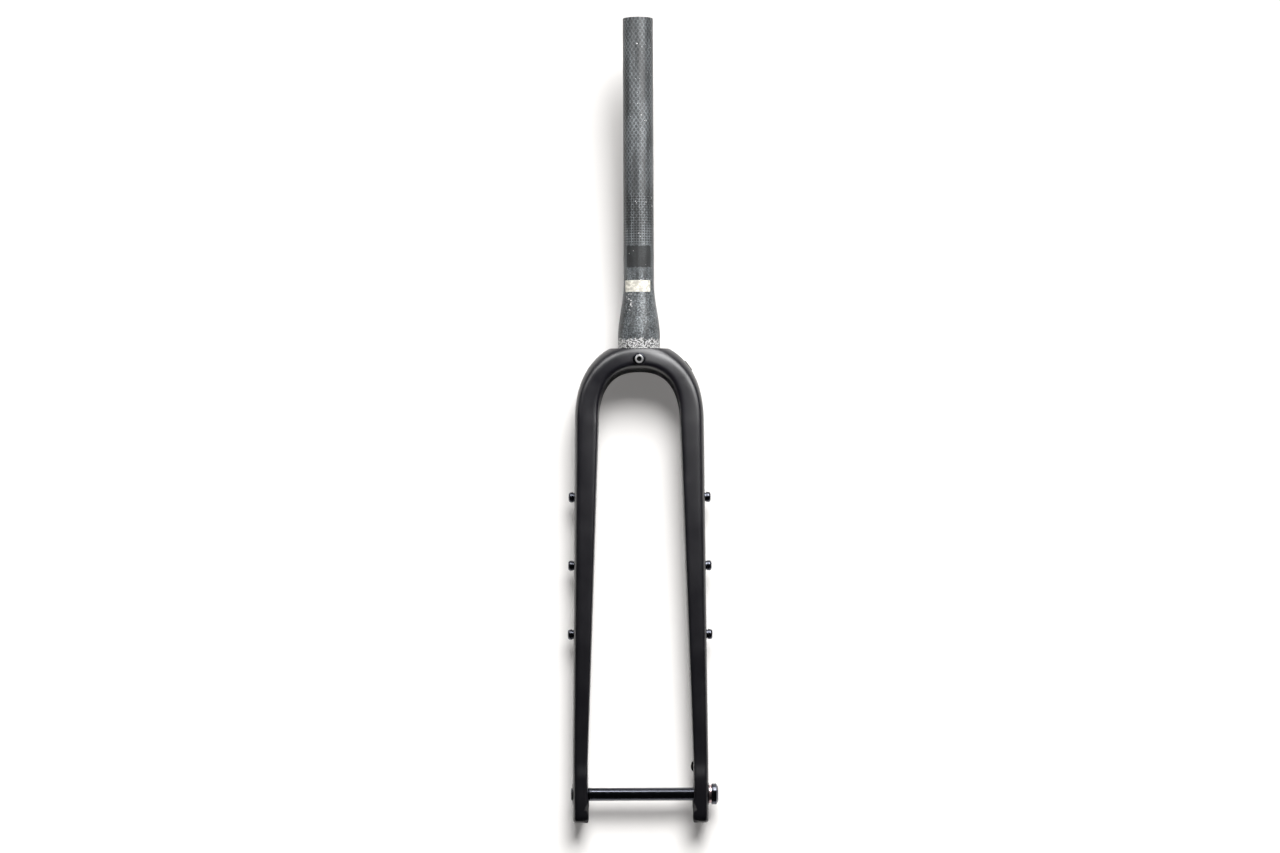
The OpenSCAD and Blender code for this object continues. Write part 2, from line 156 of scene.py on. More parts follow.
class Graph:
    """A short way to build a shader or geometry tree."""

    def __init__(self, tree: NodeTree) -> None:
        """Empties the tree."""
        self.tree = tree
        tree.nodes.clear()

    def add(self, kind: str, inputs: dict | None = None, **settings: object) -> Node:
        """Adds a node.

        Args:
            kind: The node's type name.
            inputs: Values or sockets, by input name or number.
            settings: Properties of the node.

        Returns:
            The new node.
        """
        node = self.tree.nodes.new(kind)
        for name, value in settings.items():
            setattr(node, name, value)
        for name, value in (inputs or {}).items():
            self.feed(node.inputs[name], value)
        return node

    def feed(self, socket: NodeSocket, value: object) -> None:
        """Links a socket to another, or sets its value."""
        if isinstance(value, NodeSocket):
            self.tree.links.new(value, socket)
        else:
            socket.default_value = value

    def math(self, operation: str, first: object, second: object = 0.0) -> NodeSocket:
        """Returns the result of a Math node."""
        return self.add("ShaderNodeMath", {0: first, 1: second}, operation=operation).outputs[0]

    def times(self, first: object, *others: object) -> NodeSocket:
        """Returns the product of values."""
        for other in others:
            first = self.math("MULTIPLY", first, other)
        return first

    def plus(self, first: object, *others: object) -> NodeSocket:
        """Returns the sum of values."""
        for other in others:
            first = self.math("ADD", first, other)
        return first

    def noise(self, vector: object, scale: float, detail: float = 3.0) -> NodeSocket:
        """Returns a noise value between 0 and 1 on a vector in metres."""
        node = self.add("ShaderNodeTexNoise", {"Vector": vector, "Scale": scale, "Detail": detail})
        return node.outputs["Fac"]

    def between(self, value: object, low: float, high: float, out_low: float, out_high: float) -> NodeSocket:
        """Returns a value mapped smoothly from one range to another."""
        node = self.add(
            "ShaderNodeMapRange",
            {"Value": value, "From Min": low, "From Max": high, "To Min": out_low, "To Max": out_high},
            interpolation_type="SMOOTHSTEP",
        )
        return node.outputs["Result"]

    def spread(self, noise: object, out_low: float, out_high: float, reach: float = 0.2) -> NodeSocket:
        """Returns a noise whose middle range, reach either side of 0.5, is mapped to two values."""
        return self.between(noise, 0.5 - reach, 0.5 + reach, out_low, out_high)

    def band(self, value: object, low: float, high: float, soft: float) -> NodeSocket:
        """Returns 1 between two limits and 0 outside, with soft edges."""
        rise = self.between(value, low - soft, low + soft, 0.0, 1.0)
        fall = self.between(value, high - soft, high + soft, 1.0, 0.0)
        return self.times(rise, fall)

    def mix_value(self, share: object, first: object, second: object) -> NodeSocket:
        """Returns a value between two values."""
        node = self.add("ShaderNodeMix", data_type="FLOAT")
        self.feed(node.inputs[0], share)
        self.feed(node.inputs[2], first)
        self.feed(node.inputs[3], second)
        return node.outputs[0]

    def mix_colour(self, share: object, first: object, second: object) -> NodeSocket:
        """Returns a colour between two colours."""
        node = self.add("ShaderNodeMix", data_type="RGBA")
        self.feed(node.inputs[0], share)
        self.feed(node.inputs[6], first)
        self.feed(node.inputs[7], second)
        return node.outputs[2]

    def bump(self, height: object, strength: float, distance: float) -> NodeSocket:
        """Returns a normal from a height."""
        inputs = {"Height": height, "Strength": strength, "Distance": distance}
        return self.add("ShaderNodeBump", inputs).outputs[0]


def grey(level: float) -> Colour:
    """Returns a linear grey."""
    return (level, level, level, 1.0)


@dataclass(frozen=True)
class Finish:
    """A surface finish. Each kind of finish dresses its own tree."""

    name: str
    slot: str

    def dress(self, graph: Graph, place: NodeSocket) -> dict[str, object]:
        """Adds this finish's nodes and returns the shader's inputs. Each kind of finish has its own."""
        raise NotImplementedError

    def material(self) -> Material:
        """Returns the finish's material, made on first use."""
        title = self.name + "_finish"
        found = bpy.data.materials.get(title)
        if found:
            return found
        made = bpy.data.materials.new(title)
        made.use_nodes = True
        graph = Graph(made.node_tree)
        output = graph.add("ShaderNodeOutputMaterial")
        place = graph.add("ShaderNodeTexCoord").outputs["Object"]
        shader = graph.add("ShaderNodeBsdfPrincipled", self.dress(graph, place))
        graph.feed(output.inputs["Surface"], shader.outputs[0])
        return made


@dataclass(frozen=True)
class SatinPaint(Finish):
    """Satin black paint with a faint orange peel."""

    level: float = 0.0042
    tint: Triple = (1.05, 0.95, 1.7)
    roughness: float = 0.34
    sheen: float = 0.9

    def dress(self, graph: Graph, place: NodeSocket) -> dict[str, object]:
        """Adds the paint's cloudy gloss and fine peel."""
        cloud = graph.noise(place, 38.0, 4.0)
        peel = graph.noise(place, 1400.0, 2.0)
        dark, pale = (tuple(self.level * share * c for c in self.tint) + (1.0,) for share in (0.85, 1.15))
        return {
            "Base Color": graph.mix_colour(cloud, dark, pale),
            "Roughness": graph.spread(cloud, self.roughness - 0.03, self.roughness + 0.04),
            "Specular IOR Level": self.sheen,
            "Normal": graph.bump(peel, 0.12, 0.00005),
        }


@dataclass(frozen=True)
class RawCarbon(Finish):
    """Bare cured carbon with the fabric's print, a woven band, a smooth patch and a sanded foot.

    The pitches are round the tube and along it. The other pairs are a low and a high limit.
    """

    radius: float = 14.3
    level: float = 0.056
    red: float = 0.91
    blue: float = 1.06
    print_pitch: Pair = (4.0, 5.8)
    print_start: Pair = (108.0, 122.0)
    weave_pitch: Pair = (2.6, 2.5)
    weave_z: Pair = (98.5, 146.0)
    patch_x: Pair = (-11.5, 11.2)
    patch_z: Pair = (76.5, 96.8)
    mottle_end: Pair = (66.0, 75.0)
    foot_end: Pair = (8.8, 10.0)
    glue_x: Pair = (-11.5, -6.5)
    glue_z: Pair = (36.0, 53.0)

    def ramp(self, graph: Graph, value: object, limits: Pair, ends: Pair = (0.0, 1.0)) -> NodeSocket:
        """Returns a value that goes from one end to the other between two limits."""
        low, high = (limit * MM for limit in limits)
        return graph.between(value, low, high, *ends)

    def strip(self, graph: Graph, value: object, limits: Pair, soft: float) -> NodeSocket:
        """Returns 1 between two limits and 0 outside, with soft edges."""
        low, high = (limit * MM for limit in limits)
        return graph.band(value, low, high, soft * MM)

    def threads(self, graph: Graph, around: object, z: object) -> NodeSocket:
        """Returns the height of the woven band's threads."""
        turn, rise = (math.tau / (pitch * MM) for pitch in self.weave_pitch)
        across = graph.math("SINE", graph.times(around, turn))
        along = graph.math("SINE", graph.times(z, rise))
        return graph.between(graph.math("MAXIMUM", across, along), 0.1, 0.95, 0.2, 1.4)

    def dimples(self, graph: Graph, around: object, z: object) -> NodeSocket:
        """Returns 1 in the diamond dimples that the release fabric leaves on the upper tube."""
        pitch_around, pitch_z = self.print_pitch
        turn = graph.times(around, math.pi / (pitch_around * MM))
        rise = graph.times(z, math.pi / (pitch_z * MM))
        rising = graph.math("SINE", graph.plus(turn, rise))
        falling = graph.math("SINE", graph.math("SUBTRACT", turn, rise))
        cell = graph.math("ABSOLUTE", graph.times(rising, falling))
        return graph.times(graph.between(cell, 0.18, 0.62, 0.0, 1.0), self.ramp(graph, z, self.print_start))

    def patch(self, graph: Graph, x: object, z: object, place: object) -> NodeSocket:
        """Returns 1 on the smooth dark patch, whose ends are slightly ragged."""
        ragged = graph.plus(z, graph.spread(graph.noise(place, 300.0), -0.0006, 0.0006))
        return graph.times(
            self.strip(graph, ragged, self.patch_z, 0.5), self.strip(graph, x, self.patch_x, 0.5))

    def foot(self, graph: Graph, z: object, place: object) -> NodeSocket:
        """Returns 1 on the sanded foot, which ends in a ragged line."""
        ragged = graph.spread(graph.noise(place, 210.0, 4.0), -0.0016, 0.0022)
        return self.ramp(graph, graph.plus(z, ragged), self.foot_end, (1.0, 0.0))

    def glue_specks_and_glints(self, graph: Graph, x: object, z: object, place: object) -> NodeSocket:
        """Returns 1 on the specks of glue below the label, and on a few bright spots that are painted
        glints.
        """
        glue = graph.times(self.strip(graph, x, self.glue_x, 1.0), self.strip(graph, z, self.glue_z, 2.0))
        specks = graph.between(graph.noise(place, 520.0, 2.0), 0.58, 0.64, 0.0, 1.0)
        # Painted highlight: rare bright spots stand for small glints on the tube.
        painted_glints = graph.between(graph.noise(place, 520.0, 1.0), 0.765, 0.785, 0.0, 1.0)
        return graph.math("MAXIMUM", graph.times(specks, glue), painted_glints)

    def dress(self, graph: Graph, place: NodeSocket) -> dict[str, object]:
        """Adds the colour, the gloss and the relief, which all change with height."""
        x, y, z = graph.add("ShaderNodeSeparateXYZ", {0: place}).outputs
        around = graph.times(graph.math("ARCTAN2", x, graph.times(y, -1.0)), self.radius * MM)
        drawn = graph.add("ShaderNodeVectorMath", {0: place, 1: (1.0, 1.0, 0.1)}, operation="MULTIPLY")
        streak = graph.spread(graph.noise(drawn.outputs[0], 190.0, 4.0), 0.55, 1.5, 0.16)
        cloud = graph.spread(graph.noise(place, 75.0, 4.0), 0.8, 1.25)
        grain = graph.noise(place, 900.0, 4.0)
        dimple = self.dimples(graph, around, z)
        threads = self.threads(graph, around, z)
        woven = self.strip(graph, z, self.weave_z, 4.0)
        patch = self.patch(graph, x, z, place)
        low = self.ramp(graph, z, self.mottle_end, (1.0, 0.0))
        mottle = graph.spread(graph.noise(place, 640.0, 6.0), 0.38, 1.75, 0.16)
        light = graph.times(
            streak, cloud, self.level,
            graph.spread(grain, 0.62, 1.45, 0.16),
            graph.math("SUBTRACT", 1.25, graph.times(dimple, 0.85)),
            graph.mix_value(woven, 1.0, threads),
            graph.mix_value(patch, 1.0, 0.2),
            graph.mix_value(low, 1.0, mottle),
        )
        parts = {0: graph.times(light, self.red), 1: light, 2: graph.times(light, self.blue)}
        tone = graph.add("ShaderNodeCombineColor", parts).outputs[0]

        foot = self.foot(graph, z, place)
        scuffed = graph.spread(graph.noise(place, 760.0, 6.0), 0.0, 1.0, 0.06)
        sanded = graph.mix_colour(scuffed, grey(0.04), grey(0.60))
        colour = graph.mix_colour(foot, tone, sanded)
        relief = graph.plus(
            graph.times(dimple, -0.8),
            graph.times(grain, 0.7),
            graph.times(threads, woven, 0.6),
            graph.times(scuffed, foot, 1.5),
        )
        return {
            # The glue specks are real; the bright spots mixed in with them are painted glints.
            "Base Color": graph.mix_colour(self.glue_specks_and_glints(graph, x, z, place), colour, grey(0.62)),
            "Roughness": graph.plus(graph.spread(grain, 0.36, 0.50), graph.times(patch, 0.16)),
            "Normal": graph.bump(relief, 0.6, 0.00010),
        }


@dataclass(frozen=True)
class Metal(Finish):
    """Turned metal, bare or anodised. A socket is the x, z and radius of a bolt's hex socket."""

    colour: Colour = (0.6, 0.6, 0.62, 1.0)
    roughness: float = 0.28
    coat: float = 0.0
    socket: Triple | None = None

    def socket_and_rim_shade(self, graph: Graph, place: NodeSocket) -> NodeSocket:
        """Returns 1 where shade is painted: in the hex socket and round the rim of the head."""
        x, z, radius = (v * MM for v in self.socket)
        axes = graph.add("ShaderNodeSeparateXYZ", {0: place}).outputs
        offsets = (graph.math("SUBTRACT", axes[0], x), graph.math("SUBTRACT", axes[2], z))
        away = graph.math("SQRT", graph.plus(*(graph.math("POWER", offset, 2.0) for offset in offsets)))
        rim = graph.between(away, radius * 1.62, radius * 1.74, 0.0, 1.0)
        return graph.math("MAXIMUM", graph.between(away, radius * 0.92, radius * 1.04, 1.0, 0.0), rim)

    def dress(self, graph: Graph, place: NodeSocket) -> dict[str, object]:
        """Adds fine turning marks, a little uneven gloss and painted shade in the socket and round the
        head's rim.
        """
        cloud = graph.noise(place, 260.0, 4.0)
        marks = graph.noise(place, 5200.0, 2.0)
        dark = tuple(c * 0.86 for c in self.colour[:3]) + (1.0,)
        colour = graph.mix_colour(cloud, dark, self.colour)
        if self.socket:
            # Painted shade: the hex socket and the head's rim are darkened towards black.
            colour = graph.mix_colour(self.socket_and_rim_shade(graph, place), colour, grey(0.02))
        return {
            "Base Color": colour,
            "Metallic": 1.0,
            "Roughness": graph.spread(cloud, self.roughness - 0.04, self.roughness + 0.06),
            "Coat Weight": self.coat,
            "Coat Roughness": 0.12,
            "Normal": graph.bump(marks, 0.06, 0.00001),
        }


@dataclass(frozen=True)
class Rubber(Finish):
    """Matt moulded rubber."""

    def dress(self, graph: Graph, place: NodeSocket) -> dict[str, object]:
        """Adds the rubber's dull bloom and fine grain."""
        bloom = graph.noise(place, 300.0, 4.0)
        return {
            "Base Color": graph.mix_colour(bloom, grey(0.004), grey(0.010)),
            "Roughness": graph.spread(bloom, 0.55, 0.72),
            "Specular IOR Level": 0.0,
            "Normal": graph.bump(graph.noise(place, 3000.0), 0.2, 0.00004),
        }


@dataclass(frozen=True)
class Paper(Finish):
    """Bare cream paper, a little stained."""

    def dress(self, graph: Graph, place: NodeSocket) -> dict[str, object]:
        """Adds the stains and the fibres."""
        stain = graph.noise(place, 330.0, 5.0)
        fibre = graph.noise(place, 2600.0, 3.0)
        share = graph.between(stain, 0.36, 0.62, 0.0, 1.0)
        colour = graph.mix_colour(share, (0.43, 0.41, 0.36, 1.0), (0.76, 0.74, 0.66, 1.0))
        return {"Base Color": colour, "Roughness": 0.62, "Normal": graph.bump(fibre, 0.25, 0.00004)}


PAINT = SatinPaint("satin_black_paint", "satin_black_paint")
CARBON = RawCarbon("raw_carbon", "raw_carbon")
PLAIN_METAL = Metal("plain_metal", "plain_metal")
STEEL = Metal("steel", "steel", colour=(0.78, 0.77, 0.78, 1.0), roughness=0.34, socket=(0.0, -10.2, 2.35))
BLACK_METAL = Metal("black_metal", "black_metal", colour=(0.085, 0.09, 0.11, 1.0), roughness=0.2, coat=0.3)
PALE_RING = Metal("pale_ring", "pale_ring", colour=(0.80, 0.62, 0.64, 1.0), roughness=0.3)
RUBBER = Rubber("black_rubber", "black_rubber")
PAPER = Paper("label_paper", "raw_carbon")


@dataclass(frozen=True)
class ForkForm:
    """The driving sizes of the crown, legs and dropouts, and the curves that follow from them."""

    axle_to_crown: float = 415.0
    rake: float = 50.0
    hub_w: float = 100.0
    crown_w: float = 121.6
    arch_w: float = 76.6
    crown_depth: float = 52.0
    arch_drop: float = 70.0
    shoulder_rise: float = 76.0
    crown_t: float = 21.0
    underside_fall: float = 4.4
    leg_top_depth: float = 43.0
    leg_low_depth: float = 25.0
    lean_drop: float = 30.0
    leg_inset: float = -1.0
    dropout_t: float = 13.2
    dropout_r: float = 14.0
    dropout_h: float = 30.0
    tip_drop: float = 25.5
    hub_seat_d: float = 21.5
    hub_seat_depth: float = 1.8
    facing: float = 0.3
    inner_skim: float = 0.5
    lip_run: float = 8.0
    tip_edge_r: float = 3.0
    shoulder_n: float = 2.28
    arch_n: float = 2.45
    face_n: float = 4.2
    crown_face_n: float = 2.7
    inner_n: float = 8.0
    crown_inner_n: float = 4.6
    crown_taper: float = 0.10
    soften_by: float = 55.0
    dropout_n: float = 4.0
    tip_n: float = 4.0
    lean_n: float = 1.2

    @property
    def axle_z(self) -> float:
        """Height of the axle."""
        return -self.axle_to_crown

    @property
    def leg_low_z(self) -> float:
        """Height at which a leg turns into its dropout."""
        return self.axle_z + self.dropout_h

    @property
    def tip_z(self) -> float:
        """Height of the bottom of the tips."""
        return self.axle_z - self.tip_drop

    @property
    def hub_x(self) -> float:
        """Half the width between the hub seats."""
        return self.hub_w / 2

    @property
    def outer_face_x(self) -> float:
        """Half the width over the dropouts."""
        return self.hub_x + self.dropout_t

    @property
    def lip_x(self) -> float:
        """Half the width between the dropouts' inner sides."""
        return self.hub_x - self.hub_seat_depth

    def down_leg(self, z: float) -> float:
        """Returns the share of the way down the leg."""
        top = -self.arch_drop
        return min(1.0, (top - z) / (top - self.leg_low_z))

    def down_dropout(self, z: float) -> float:
        """Returns the share of the way from the leg's form to the dropout's."""
        return ease((self.leg_low_z - z) / (self.dropout_h / 2))

    def outer_x(self, z: float) -> float:
        """Returns where the leg's outer side is at a height."""
        return mix(self.crown_w / 2, self.outer_face_x - self.facing, self.down_leg(z))

    def inner_x(self, z: float) -> float:
        """Returns where the leg's inner side is at a height."""
        leg = mix(self.arch_w / 2, self.hub_x + self.leg_inset, self.down_leg(z))
        return mix(leg, self.lip_x - self.inner_skim, ease((self.axle_z - z) / self.lip_run))

    def mid_x(self, z: float) -> float:
        """Returns the middle of the leg at a height."""
        return (self.inner_x(z) + self.outer_x(z)) / 2

    def lean_y(self, z: float) -> float:
        """Returns how far forward the leg's middle is at a height, as a negative Y."""
        share = max(0.0, (-z - self.lean_drop) / (self.axle_to_crown - self.lean_drop))
        return -self.rake * share**self.lean_n

    def half_depth(self, z: float) -> float:
        """Returns half the leg's depth at a height."""
        leg = mix(self.leg_top_depth, self.leg_low_depth, self.down_leg(z)) / 2
        return mix(leg, self.dropout_r, self.down_dropout(z))


@dataclass(frozen=True)
class Section:
    """One rounded section of the moulding, square to its run."""

    centre: np.ndarray
    outward: np.ndarray
    half_thickness: float
    half_depth: float
    squareness: float
    inner_squareness: float
    fall: float = 0.0
    taper: float = 0.0

    def ring(self, count: int) -> np.ndarray:
        """Returns the section's outline as count points, outward side first."""
        angle = np.arange(count) * math.tau / count
        c, s = np.cos(angle), np.sin(angle)
        power = 2 / np.where(c < 0, self.inner_squareness, self.squareness)
        u = np.sign(c) * np.abs(c) ** power
        v = np.sign(s) * np.abs(s) ** power
        along = self.half_thickness * u + self.fall * np.minimum(u, 0) * v
        v = v * (1 - self.taper * (u + 1) / 2)
        return self.centre + np.outer(along, self.outward) + np.outer(self.half_depth * v, [0, 1, 0])


def loft(name: str, rings: Sequence[np.ndarray]) -> Object:
    """Makes a closed skin over rings that all have the same number of points."""
    n = len(rings[0])
    faces = [
        (i * n + j, i * n + (j + 1) % n, (i + 1) * n + (j + 1) % n, (i + 1) * n + j)
        for i in range(len(rings) - 1)
        for j in range(n)
    ]
    faces.append(tuple(range(n - 1, -1, -1)))
    faces.append(tuple((len(rings) - 1) * n + j for j in range(n)))
    return new_object(name, mesh_from(name, np.vstack(rings), faces))


def solid(name: str, shape: bmesh.types.BMesh, place: Matrix) -> Object:
    """Keeps a cutter or filler shape, given in millimetres.

    Args:
        name: The shape's name.
        shape: Its closed bmesh, freed here.
        place: Where it goes, in millimetres.

    Returns:
        The object, which is removed after the cut.
    """
    bmesh.ops.transform(shape, matrix=Matrix.Scale(MM, 4) @ place, verts=shape.verts)
    bmesh.ops.recalc_face_normals(shape, faces=shape.faces)
    mesh = bpy.data.meshes.new(name)
    shape.to_mesh(mesh)
    shape.free()
    return new_object(name, mesh)


def turned(name: str, profile: Sequence[Pair], place: Matrix) -> Object:
    """Makes a closed turned shape.

    Args:
        name: The shape's name.
        profile: Pairs of radius and height, from one end of the axis to the other.
        place: Where its axis, +Z, goes.

    Returns:
        The object.
    """
    count = TURN_COUNT
    shape = bmesh.new()
    rings = []
    for radius, height in profile:
        turn = [math.tau * k / count for k in range(count)]
        rings.append([shape.verts.new((radius * math.cos(a), radius * math.sin(a), height)) for a in turn])
    for low, high in zip(rings, rings[1:]):
        for k in range(count):
            shape.faces.new((low[k], low[(k + 1) % count], high[(k + 1) % count], high[k]))
    shape.faces.new(list(reversed(rings[0])))
    shape.faces.new(rings[-1])
    return solid(name, shape, place)


def prism(name: str, outline: Sequence[Pair], height: float, place: Matrix) -> Object:
    """Makes a straight prism from an outline in its own XY plane, with its height along +Z."""
    shape = bmesh.new()
    low = [shape.verts.new((x, y, 0.0)) for x, y in outline]
    high = [shape.verts.new((x, y, height)) for x, y in outline]
    shape.faces.new(low)
    shape.faces.new(high)
    for k in range(len(outline)):
        m = (k + 1) % len(outline)
        shape.faces.new((low[k], low[m], high[m], high[k]))
    return solid(name, shape, place)


def combine(body: Object, shapes: Iterable[Object], operation: str) -> None:
    """Joins or cuts shapes into the body.

    Args:
        body: The piece that changes.
        shapes: The other shapes, removed afterwards.
        operation: UNION or DIFFERENCE.
    """
    for shape in shapes:
        cut = body.modifiers.new(shape.name, "BOOLEAN")
        cut.operation = operation
        cut.solver = "MANIFOLD"
        cut.object = shape
        applied(body)
        bpy.data.objects.remove(shape)


@dataclass
class Moulding:
    """The outer form of the crown and legs, drawn as one fine lofted surface."""

    form: ForkForm
    ring_count: int = 84
    tip_turn: float = 84.0
    tip_steps: int = 16
    dropout_steps: int = 22
    leg_steps: int = 66
    arch_steps: int = 64

    def leg_section(self, z: float, depth: float, edge: float = 0.0) -> Section:
        """Returns the leg's section at a height.

        Args:
            z: The height.
            depth: Half the section's depth.
            edge: How much the rounding of the tip takes off each side.

        Returns:
            The section, level.
        """
        f = self.form
        half = (f.outer_x(z) - f.inner_x(z)) / 2 - edge
        square = mix(f.face_n, f.dropout_n, f.down_dropout(z))
        centre = np.array([f.mid_x(z), f.lean_y(z), z])
        return Section(centre, SIDEWAYS, half, depth, square, f.inner_n)

    def tip_section(self, turn: float) -> Section:
        """Returns a section of the rounded tip, by its angle below the middle of the rounding."""
        f = self.form
        z = f.tip_z + f.dropout_r * (1 - math.sin(turn) ** (2 / f.tip_n))
        left = min(1.0, (z - f.tip_z) / f.tip_edge_r)
        edge = f.tip_edge_r * (1 - math.sqrt(1 - (1 - left) ** 2))
        return self.leg_section(z, f.dropout_r * math.cos(turn) ** (2 / f.tip_n), edge)

    def crown_section(self, turn: float) -> Section:
        """Returns a section of the crown, by its angle up from the foot of the arch."""
        f = self.form

        def outline(half_w: float, rise: float, n: float) -> np.ndarray:
            """Returns a point of a rounded outline at this angle."""
            c, s = abs(math.cos(turn)), abs(math.sin(turn))
            return np.array([half_w * c ** (2 / n), 0.0, -f.arch_drop + rise * s ** (2 / n)])

        outside = outline(f.crown_w / 2, f.shoulder_rise, f.shoulder_n)
        inside = outline(f.arch_w / 2, f.arch_drop - f.crown_t, f.arch_n)
        middle = (outside + inside) / 2
        span = outside - inside
        depth = mix(f.leg_top_depth, f.crown_depth, ease(turn / (math.pi / 2))) / 2
        soft = ease(turn / math.radians(f.soften_by))
        width = float(np.linalg.norm(span))
        return Section(
            centre=middle + np.array([0, f.lean_y(middle[2]), 0]),
            outward=span / width,
            half_thickness=width / 2,
            half_depth=depth,
            squareness=mix(f.face_n, f.crown_face_n, soft),
            inner_squareness=mix(f.inner_n, f.crown_inner_n, soft),
            fall=f.underside_fall / 2 * math.sin(turn),
            taper=f.crown_taper * soft,
        )

    def sections(self) -> list[Section]:
        """Returns the sections from the left tip up to the middle of the crown."""
        f = self.form
        low = f.tip_z + f.dropout_r
        last = math.radians(self.tip_turn)
        rows = [self.tip_section(last * k / self.tip_steps) for k in range(self.tip_steps, 0, -1)]
        for k in range(self.dropout_steps):
            z = mix(low, f.leg_low_z, k / self.dropout_steps)
            rows.append(self.leg_section(z, f.half_depth(z)))
        for k in range(self.leg_steps):
            z = mix(f.leg_low_z, -f.arch_drop, k / self.leg_steps)
            rows.append(self.leg_section(z, f.half_depth(z)))
        turns = [math.pi / 2 * k / self.arch_steps for k in range(self.arch_steps + 1)]
        return rows + [self.crown_section(turn) for turn in turns]

    def skin(self) -> Object:
        """Returns the closed skin over all sections, left and right."""
        half = [s.ring(self.ring_count) for s in self.sections()]
        other = [ring * np.array([-1, 1, 1]) for ring in reversed(half[:-1])]
        return loft("crown_and_legs_fine", half + other)


def along_x(x: float, y: float, z: float, sign: int = 1) -> Matrix:
    """Returns a place whose +Z points along X, towards the side that sign gives."""
    return Matrix.Translation((x, y, z)) @ Matrix.Rotation(sign * math.pi / 2, 4, "Y")


def along_y(x: float, y: float, z: float, sign: int = 1) -> Matrix:
    """Returns a place whose +Z points along Y, forwards or back as sign gives."""
    return Matrix.Translation((x, y, z)) @ Matrix.Rotation(-sign * math.pi / 2, 4, "X")


def flared(radius: float, lip: float, soft: Pair, wider: float, reach: float) -> list[Pair]:
    """Returns the profile of a flat's cutter that softens the edge round the flat.

    Args:
        radius: The flat's radius.
        lip: Depth of the flat below the surface.
        soft: How far the slope reaches below the lip and above it.
        wider: What the slope adds to the radius.
        reach: Height of the cutter.

    Returns:
        Pairs of radius and height.
    """
    below, above = soft
    return [(radius, 0.0), (radius, lip - below), (radius + wider, lip + above), (radius + wider, reach)]


